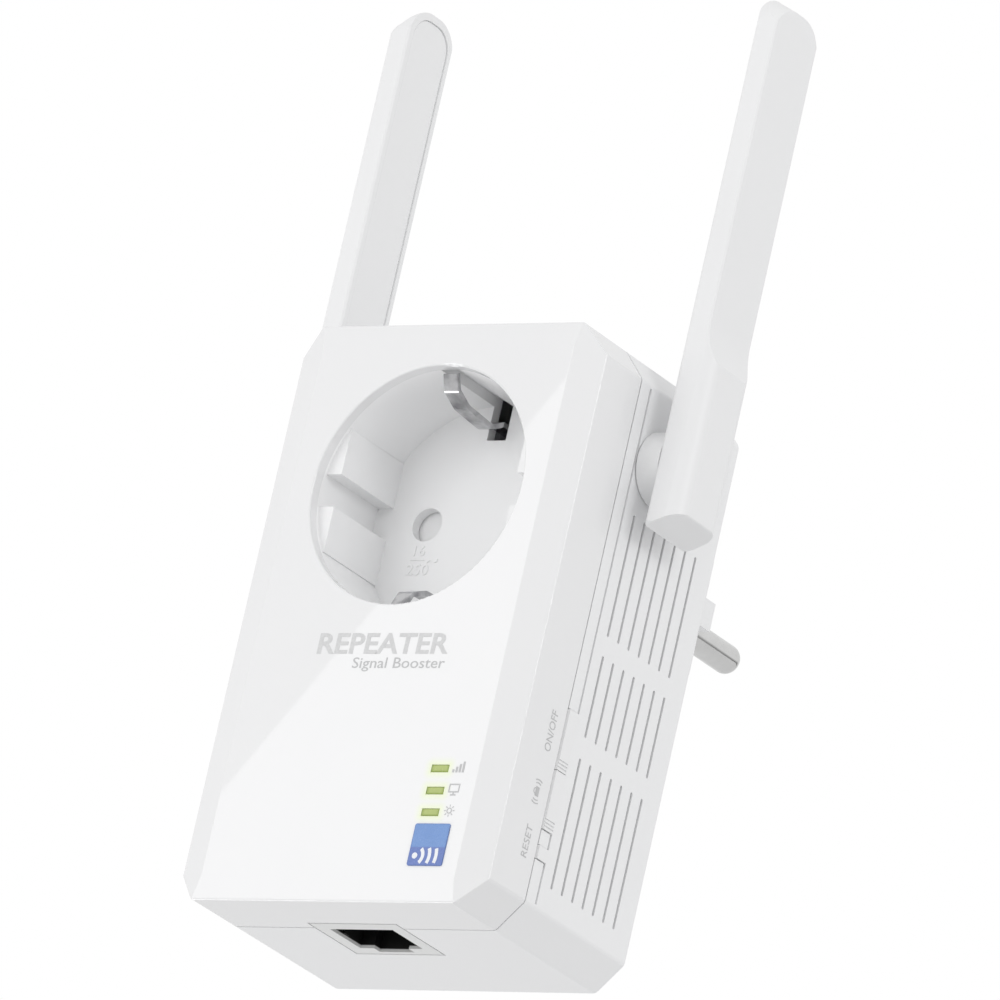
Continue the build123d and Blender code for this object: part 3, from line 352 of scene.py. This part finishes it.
def jackTwoTone():
    mat = mouldedPlastic("jackTwoTone", jackLook)
    tree = mat.node_tree
    shader = tree.nodes["Principled BSDF"]
    base = shader.inputs["Base Color"].links[0].from_socket
    alongZ = placeXZ(tree, objectCoords(tree))[1]
    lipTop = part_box("ethernet_jack")[0].z + jackLook["lipDepth"]
    deep = remap(tree, alongZ, (lipTop - jackLook["lipEdge"], lipTop + jackLook["lipEdge"]), (0, 1))
    tree.links.new(mixColours(tree, deep, base, jackLook["cavity"]), shader.inputs["Base Color"])
    return mat


nodeFinishes = {
    "front_cover": frontCoverWhite(), "rear_cover": plastic["rearWhite"], "case_screws": metal["screwSteel"],
    "socket_well": plastic["wellWhite"], "shutter": plastic["shutterWhite"],
    "contact_carrier": plastic["carrierGrey"], "earth_strap": metal["clipNickel"],
    "line_contact": metal["contactBrass"], "neutral_contact": metal["contactBrass"],
    "plug_body": plastic["plugWhite"], "plug_earth_contacts": metal["nickelPlate"],
    "line_pin": metal["nickelPlate"], "neutral_pin": metal["nickelPlate"],
    "main_board": boardGreen, "power_board": boardGreen, "insulation_sheet": plastic["filmClear"],
    "transformer_core": plastic["ferriteGrey"], "transformer_winding": plastic["tapeAmber"],
    "capacitors": metal["canAluminium"], "line_filter": plastic["tapeAmber"], "fuse": plastic["fuseCeramic"],
    "rf_shield": metal["shieldTin"], "board_chips": plastic["switchBlack"],
    "status_leds": plastic["ledEpoxy"], "light_guide": lightGreen(), "badge": badgeBlue(),
    "ethernet_jack": jackTwoTone(), "ethernet_contacts": metal["contactGilt"],
}
for button in ("power", "pair", "reset"):
    nodeFinishes[f"{button}_switch"] = plastic["switchBlack"]
    nodeFinishes[f"{button}_button"] = plastic["buttonWhite"]
for side in ("right", "left"):
    nodeFinishes.update({
        f"antenna_shell_{side}": plastic["antennaWhite"], f"antenna_lid_{side}": plastic["antennaWhite"],
        f"antenna_element_{side}": metal["elementCopper"], f"antenna_feed_{side}": plastic["coaxBlack"],
        f"hinge_barrel_{side}": plastic["antennaWhite"], f"retaining_clip_{side}": metal["clipSteel"],
        f"friction_washer_{side}": plastic["washerFibre"], f"antenna_coax_{side}": plastic["coaxBlack"],
        f"coax_connector_{side}": metal["contactGilt"]})
for node, finish in nodeFinishes.items():
    nodes[node].data.materials.clear()
    nodes[node].data.materials.append(finish)
unpainted = set(nodes) - set(nodeFinishes)
print("every node painted" if not unpainted else f"unpainted: {unpainted}")

# curved faces shade smoothly; wide flat faces stay flat, so that gloss on them is undistorted
shading = {"flatArea": 60 * mm * mm, "splitDeg": 18, "weldGap": 0.002 * mm, "evenWeight": 90}


# polygons of one flat face have the same key
def planeKey(polygon):
    normal = polygon.normal
    return (*(round(part, 3) for part in normal), round(polygon.center.dot(normal) / mm, 2))


for node in nodes.values():
    planeArea = {}
    for polygon in node.data.polygons:
        key = planeKey(polygon)
        planeArea[key] = planeArea.get(key, 0) + polygon.area
    for polygon in node.data.polygons:
        polygon.use_smooth = planeArea[planeKey(polygon)] < shading["flatArea"]
    weld = node.modifiers.new("weld", 'WELD')
    weld.merge_threshold = shading["weldGap"]
    crisp = node.modifiers.new("crisp", 'EDGE_SPLIT')
    crisp.split_angle = math.radians(shading["splitDeg"])
    crisp.use_edge_sharp = False
    even = node.modifiers.new("even", 'WEIGHTED_NORMAL')
    even.mode = 'FACE_AREA'
    even.weight = shading["evenWeight"]
print("shading set")

# printed marks: thin inked plates that start just under the face they lie on, in millimetres
ink = {"sink": 0.01, "rise": 0.03, "speckle": 2600, "speckleRange": (0.35, 0.65), "darker": 0.93,
       "gloss": (0.38, 0.5), "speckleStrength": 0.2, "depth": 0.004}
inkColours = {"inkGrey": (0.66, 0.662, 0.665), "inkPale": (0.54, 0.543, 0.547),
              "inkWhite": (0.88, 0.90, 0.93)}


def inkMaterial(name, colour):
    mat, tree, shader = newMaterial(name)
    speckle = remap(tree, noise(tree, objectCoords(tree), ink["speckle"]), ink["speckleRange"], (0, 1))
    darker = tuple(channel * ink["darker"] for channel in colour)
    tree.links.new(mixColours(tree, speckle, colour, darker), shader.inputs["Base Color"])
    unevenGloss(tree, shader, speckle, ink["gloss"], (0, 1))
    addBump(tree, shader, speckle, ink["speckleStrength"], ink["depth"] * mm)
    return mat


inks = {name: inkMaterial(name, colour) for name, colour in inkColours.items()}

# the faces that marks lie on: each gives the place of (u, v) millimetres, lifted off the face
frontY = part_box("front_cover")[0].y
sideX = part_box("front_cover")[1].x
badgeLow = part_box("badge")[0]
floorFace = {"y": -40.5, "rise": 0.12}  # the socket well's floor, and how far its numbers stand out


def onFront(u, v, lift):
    return Vector((u * mm, frontY - lift * mm, v * mm))


def onSide(u, v, lift):
    return Vector((sideX + lift * mm, u * mm, v * mm))


def onBadge(u, v, lift):
    return Vector((u * mm, badgeLow.y - lift * mm, v * mm))


def onFloor(u, v, lift):
    return Vector((u * mm, (floorFace["y"] - lift) * mm, v * mm))


doubleGap = 0.001 * mm


def outward(obj):
    bpy.ops.object.select_all(action='DESELECT')
    obj.select_set(True)
    bpy.context.view_layer.objects.active = obj
    bpy.ops.object.mode_set(mode='EDIT')
    bpy.ops.mesh.select_all(action='SELECT')
    bpy.ops.mesh.remove_doubles(threshold=doubleGap)
    bpy.ops.mesh.normals_make_consistent(inside=False)
    bpy.ops.mesh.select_all(action='DESELECT')
    bpy.ops.object.mode_set(mode='OBJECT')


def finishPiece(obj, name, material, body):
    obj.name = name
    obj.data.name = name
    obj.data.materials.clear()
    obj.data.materials.append(material)
    outward(obj)
    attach(obj, body)
    return obj


def joinAll(parts):
    bpy.ops.object.select_all(action='DESELECT')
    for part in parts:
        part.select_set(True)
    bpy.context.view_layer.objects.active = parts[0]
    bpy.ops.object.join()
    return bpy.context.view_layer.objects.active


# a plate with the given corners, in order round its outline
def plateMark(corners, face):
    bpy.ops.object.select_all(action='DESELECT')
    bpy.ops.mesh.primitive_circle_add(vertices=len(corners), radius=mm, fill_type='NGON')
    patch = bpy.context.object
    for vertex, (u, v) in zip(patch.data.vertices, corners):
        vertex.co = face(u, v, -ink["sink"])
    bpy.ops.object.mode_set(mode='EDIT')
    bpy.ops.mesh.select_all(action='SELECT')
    push = face(0, 0, ink["rise"]) - face(0, 0, -ink["sink"])
    bpy.ops.mesh.extrude_region_move(TRANSFORM_OT_translate={"value": push})
    bpy.ops.object.mode_set(mode='OBJECT')
    return patch


def barMark(u0, u1, v0, v1, face):
    return plateMark([(u0, v0), (u1, v0), (u1, v1), (u0, v1)], face)


def arcPoints(u, v, radius, angles):
    return [(u + radius * math.cos(angle), v + radius * math.sin(angle)) for angle in angles]


def arcMark(u, v, inner, outer, startDeg, endDeg, face, steps=14):
    angles = [math.radians(startDeg + (endDeg - startDeg) * step / steps) for step in range(steps + 1)]
    return plateMark(arcPoints(u, v, outer, angles) + arcPoints(u, v, inner, angles[::-1]), face)


def discMark(u, v, radius, face, steps=20):
    return plateMark(arcPoints(u, v, radius, [math.tau * step / steps for step in range(steps)]), face)


# words made a mesh and fitted to a size; across and up say which way they read on the face
def letterMark(label, face, across=(1, 0), up=(0, 1), rise=ink["rise"]):
    bpy.ops.object.select_all(action='DESELECT')
    bpy.ops.object.text_add()
    text = bpy.context.object
    text.data.body = label["words"]
    text.data.offset = label.get("weight", 0)
    text.data.extrude = 0.5
    text.data.resolution_u = 3
    bpy.ops.object.convert(target='MESH')
    text = bpy.context.object
    low = Vector([min(v.co[i] for v in text.data.vertices) for i in range(3)])
    high = Vector([max(v.co[i] for v in text.data.vertices) for i in range(3)])
    for vertex in text.data.vertices:
        s = (vertex.co.x - (low.x + high.x) / 2) / (high.x - low.x) * label["wide"]
        t = (vertex.co.y - (low.y + high.y) / 2) / (high.y - low.y) * label["high"]
        lift = (vertex.co.z - low.z) / (high.z - low.z) * (rise + ink["sink"]) - ink["sink"]
        u = label["u"] + across[0] * s + up[0] * t
        v = label["v"] + across[1] * s + up[1] * t
        vertex.co = face(u, v, lift)
    return text


# name rows on the front, as plain generic words
nameRows = {
    "big": {"words": "REPEATER", "u": 0.75, "v": -26.3, "high": 3.4, "wide": 24.8, "weight": 0.022,
            "ink": "inkGrey"},
    "small": {"words": "Signal Booster", "u": 4.35, "v": -29.75, "high": 2.3, "wide": 17.4,
              "ink": "inkPale"},
}
for key, row in nameRows.items():
    finishPiece(letterMark(row, onFront), f"nameRow_{key}", inks[row["ink"]], "casing")
print("name rows printed")

# symbols beside the lights, all centred on one line: signal bars, monitor, sun
symbolX = 20.2
signalLook = {"bars": 4, "start": symbolX - 1.1, "foot": -47.3, "pitch": 0.6, "wide": 0.38,
              "high": 0.5, "step": 0.42}
signalBars = []
for i in range(signalLook["bars"]):
    start = signalLook["start"] + signalLook["pitch"] * i
    top = signalLook["foot"] + signalLook["high"] + signalLook["step"] * i
    signalBars.append(barMark(start, start + signalLook["wide"], signalLook["foot"], top, onFront))
finishPiece(joinAll(signalBars), "signalSymbol", inks["inkPale"], "casing")

monitorLook = {"halfWidth": 1.0, "line": 0.2, "top": -49.15, "bottom": -50.55, "halfNeck": 0.12,
               "halfFoot": 0.5, "footTop": -50.85}
wide, line = monitorLook["halfWidth"], monitorLook["line"]
top, bottom = monitorLook["top"], monitorLook["bottom"]
neck, foot, footTop = monitorLook["halfNeck"], monitorLook["halfFoot"], monitorLook["footTop"]
monitorBars = [(-wide, wide, top - line, top), (-wide, wide, bottom, bottom + line),
               (-wide, line - wide, bottom + line, top - line),
               (wide - line, wide, bottom + line, top - line),
               (-foot, foot, footTop - line, footTop), (-neck, neck, footTop, bottom)]
monitor = [barMark(symbolX + u0, symbolX + u1, v0, v1, onFront) for u0, u1, v0, v1 in monitorBars]
finishPiece(joinAll(monitor), "monitorSymbol", inks["inkPale"], "casing")

sunLook = {"v": -53.5, "ring": (0.32, 0.5), "ringSteps": 24, "rays": 8, "ray": (0.64, 0.98), "halfRay": 0.07}
sun = [arcMark(symbolX, sunLook["v"], *sunLook["ring"], 0, 359, onFront, sunLook["ringSteps"])]
near, far = sunLook["ray"]
half = sunLook["halfRay"]
for ray in range(sunLook["rays"]):
    angle = math.tau * ray / sunLook["rays"]
    c, s = math.cos(angle), math.sin(angle)
    corners = [(near, -half), (far, -half), (far, half), (near, half)]
    turned = [(symbolX + c * a - s * b, sunLook["v"] + s * a + c * b) for a, b in corners]
    sun.append(plateMark(turned, onFront))
finishPiece(joinAll(sun), "sunSymbol", inks["inkPale"], "casing")

# a dot with arcs opening to the right, along the badge's lower band
badgeSign = {"dot": (1.15, 1.6), "dotRadius": 0.5, "arcs": (1.5, 2.75, 4.0), "halfLine": 0.3,
             "halfAngle": (48, 26, 17)}
dotU = badgeLow.x / mm + badgeSign["dot"][0]
dotV = badgeLow.z / mm + badgeSign["dot"][1]
waves = [discMark(dotU, dotV, badgeSign["dotRadius"], onBadge)]
for radius, angle in zip(badgeSign["arcs"], badgeSign["halfAngle"]):
    inner, outer = radius - badgeSign["halfLine"], radius + badgeSign["halfLine"]
    waves.append(arcMark(dotU, dotV, inner, outer, -angle, angle, onBadge))
finishPiece(joinAll(waves), "badgeWaves", inks["inkWhite"], "casing")
print("symbols and badge printed")

# labels along the side, read upwards
sideLabels = {"power": {"words": "ON/OFF", "u": -48.5, "v": -37.1, "high": 1.6, "wide": 6.5},
              "reset": {"words": "RESET", "u": -48.5, "v": -54.9, "high": 1.5, "wide": 5.1}}
for key, words in sideLabels.items():
    label = letterMark(words, onSide, (0, 1), (-1, 0))
    finishPiece(label, f"sideLabel_{key}", inks["inkPale"], "casing")

# a padlock between waves, beside the pair button
lockLook = {"body": (-49.1, -48.2, -47.75, -46.25), "v": -47.0, "shackleU": -49.1, "shackle": (0.34, 0.52),
            "wavesU": -48.7, "waves": (1.35, 1.85), "halfLine": 0.09, "waveDeg": (62, 118), "waveSteps": 8}
lock = [barMark(*lockLook["body"], onSide),
        arcMark(lockLook["shackleU"], lockLook["v"], *lockLook["shackle"], 90, 270, onSide)]
for turn in (0, 180):
    for radius in lockLook["waves"]:
        inner, outer = radius - lockLook["halfLine"], radius + lockLook["halfLine"]
        startDeg, endDeg = (angle + turn for angle in lockLook["waveDeg"])
        lock.append(arcMark(lockLook["wavesU"], lockLook["v"], inner, outer, startDeg, endDeg, onSide,
                            lockLook["waveSteps"]))
finishPiece(joinAll(lock), "lockSymbol", inks["inkPale"], "casing")
print("side labels printed")

# raised numbers on the well's floor, under the left pin hole
floorMarks = {"amps": {"words": "16", "u": -9.76, "v": -4.35, "high": 1.7, "wide": 2.1},
              "rule": {"words": "-", "u": -9.9, "v": -5.9, "high": 0.16, "wide": 2.6},
              "wave": {"words": "~", "u": -6.9, "v": -6.0, "high": 0.7, "wide": 1.9},
              "volts": {"words": "250", "u": -9.43, "v": -7.5, "high": 1.8, "wide": 4.1}}
for key, mark in floorMarks.items():
    rating = letterMark(mark, onFloor, rise=floorFace["rise"])
    finishPiece(rating, f"floorMark_{key}", plastic["wellWhite"], "casing")
print("floor numbers raised")

# camera, floor, light
cameraPlace = {"location": (1.21243, -1.59931, -0.62527), "turnDeg": (108.11469, -12.18126, 33.85070),
               "lens": 482.39, "sensor": 36, "nearest": 0.05, "farthest": 60}
bpy.ops.object.camera_add(location=cameraPlace["location"],
                          rotation=[math.radians(angle) for angle in cameraPlace["turnDeg"]])
camera = bpy.context.object
camera.data.lens = cameraPlace["lens"]
camera.data.sensor_width = cameraPlace["sensor"]
camera.data.clip_start = cameraPlace["nearest"]
camera.data.clip_end = cameraPlace["farthest"]
bpy.context.scene.camera = camera

# the floor lies so low that the underside can be seen from below too
stageLook = {"z": -3.2, "size": 46, "colour": (0.90, 0.90, 0.90), "tint": (0.88, 0.88, 0.885),
             "cloud": 3, "gloss": 0.6}
bpy.ops.object.select_all(action='DESELECT')
bpy.ops.mesh.primitive_plane_add(size=stageLook["size"], location=(0, 0, stageLook["z"]))
floor = bpy.context.object
floor.name = "floor"
floorMat, floorTree, floorShader = newMaterial("floorPaint")
cloud = noise(floorTree, objectCoords(floorTree), stageLook["cloud"])
floorTree.links.new(mixColours(floorTree, cloud, stageLook["colour"], stageLook["tint"]),
                    floorShader.inputs["Base Color"])
setSockets(floorShader, {"Roughness": stageLook["gloss"]})
floor.data.materials.append(floorMat)

# a white room: plain white behind the object, a softer white for its light,
# and two dark ends that only gloss picks up
room = {"behind": 1.0, "light": 0.84, "dark": 0.06, "darkRange": (0.80, 0.93),
        "darkEnds": ((0.62, -0.72, -0.31), (0.45, 0.75, -0.48))}
world = bpy.data.worlds.new("studio")
bpy.context.scene.world = world
world.use_nodes = True
tree = world.node_tree
background = tree.nodes["Background"]
rays = tree.nodes.new("ShaderNodeLightPath")
direction = tree.nodes.new("ShaderNodeTexCoord").outputs["Generated"]
ends = []
for end in room["darkEnds"]:
    facing = tree.nodes.new("ShaderNodeVectorMath")
    facing.operation = 'DOT_PRODUCT'
    facing.inputs[1].default_value = Vector(end).normalized()
    tree.links.new(direction, facing.inputs[0])
    ends.append(remap(tree, facing.outputs["Value"], room["darkRange"], (0, 1)))
glossyDark = maths(tree, 'MULTIPLY', maths(tree, 'MAXIMUM', *ends), rays.outputs["Is Glossy Ray"])
darkening = maths(tree, 'MULTIPLY', glossyDark, room["light"] - room["dark"])
lighting = maths(tree, 'SUBTRACT', room["light"], darkening)
behind = maths(tree, 'MULTIPLY', rays.outputs["Is Camera Ray"], room["behind"])
background.inputs["Color"].default_value = (1, 1, 1, 1)
tree.links.new(maths(tree, 'MAXIMUM', lighting, behind), background.inputs["Strength"])

# the card's edge shows in the front cover's gloss as a slanting line; lamps without a turn face the origin
lamps = {
    "card": {"place": (-0.1712, -0.4932, 0.0533), "turnDeg": (55.631, -58.511, -7.929), "size": 0.3,
             "power": 0.42},
    "right": {"place": (1.06, -0.42, 0.365), "turnDeg": None, "size": 0.35, "power": 1.9},
    "below": {"place": (-0.53, -0.25, -0.66), "turnDeg": None, "size": 0.3, "power": 1.1},
}
for name, lamp in lamps.items():
    data = bpy.data.lights.new(name, 'AREA')
    data.size = lamp["size"]
    data.energy = lamp["power"]
    light = bpy.data.objects.new(name, data)
    bpy.context.scene.collection.objects.link(light)
    light.location = lamp["place"]
    light.visible_camera = False
    if lamp["turnDeg"]:
        light.rotation_euler = [math.radians(angle) for angle in lamp["turnDeg"]]
    else:
        light.rotation_euler = (-Vector(lamp["place"])).to_track_quat('-Z', 'Y').to_euler()

bpy.context.scene.view_settings.view_transform = 'Standard'
print("scene ready")
